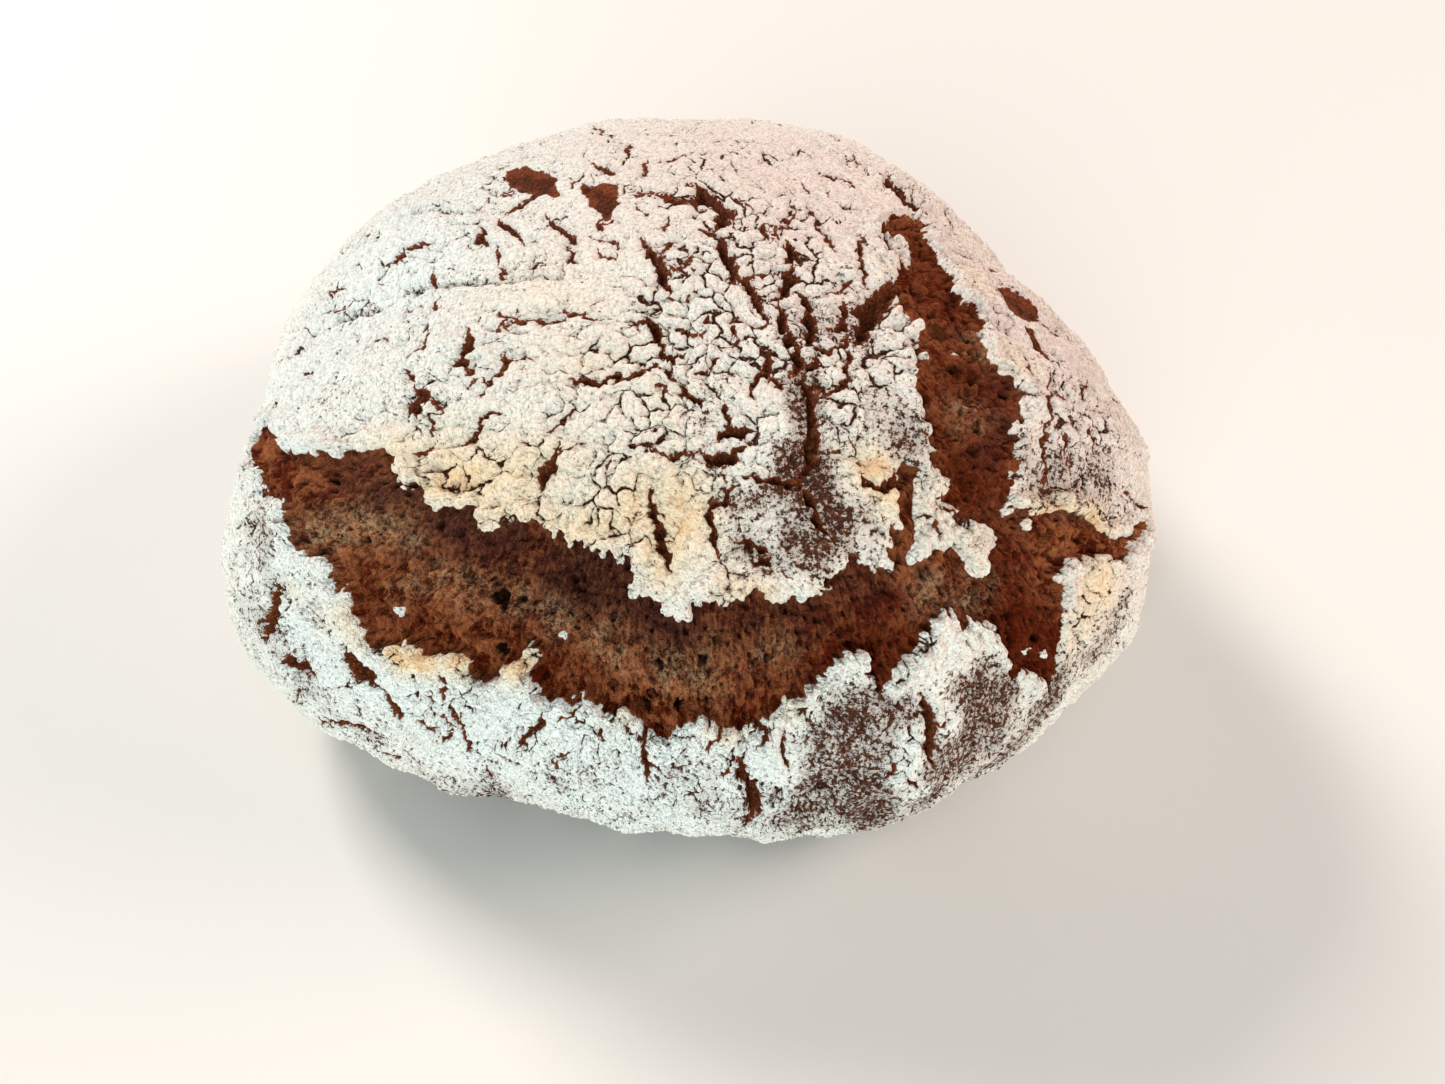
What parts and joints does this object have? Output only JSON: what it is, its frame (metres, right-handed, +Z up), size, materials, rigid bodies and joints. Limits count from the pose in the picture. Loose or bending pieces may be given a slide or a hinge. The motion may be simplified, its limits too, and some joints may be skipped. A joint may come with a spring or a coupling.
{
  "type": "rye bread loaf",
  "caption": "Round free-form rye loaf, a floured dome with cracked crust that burst open along its front and its right shoulder.",
  "frame": {"origin": "middle of the outline box, on the resting face", "axes": "+Z up from the resting face to the crown; the torn side faces -Y and the torn shoulder +X"},
  "size_m": [0.2306, 0.2302, 0.1111],
  "materials": {
    "floured_crust": "dull, dry flour over brown crust"
  },
  "bodies": {
    "root": {"loaf": "floured_crust"}
  },
  "joints": []
}
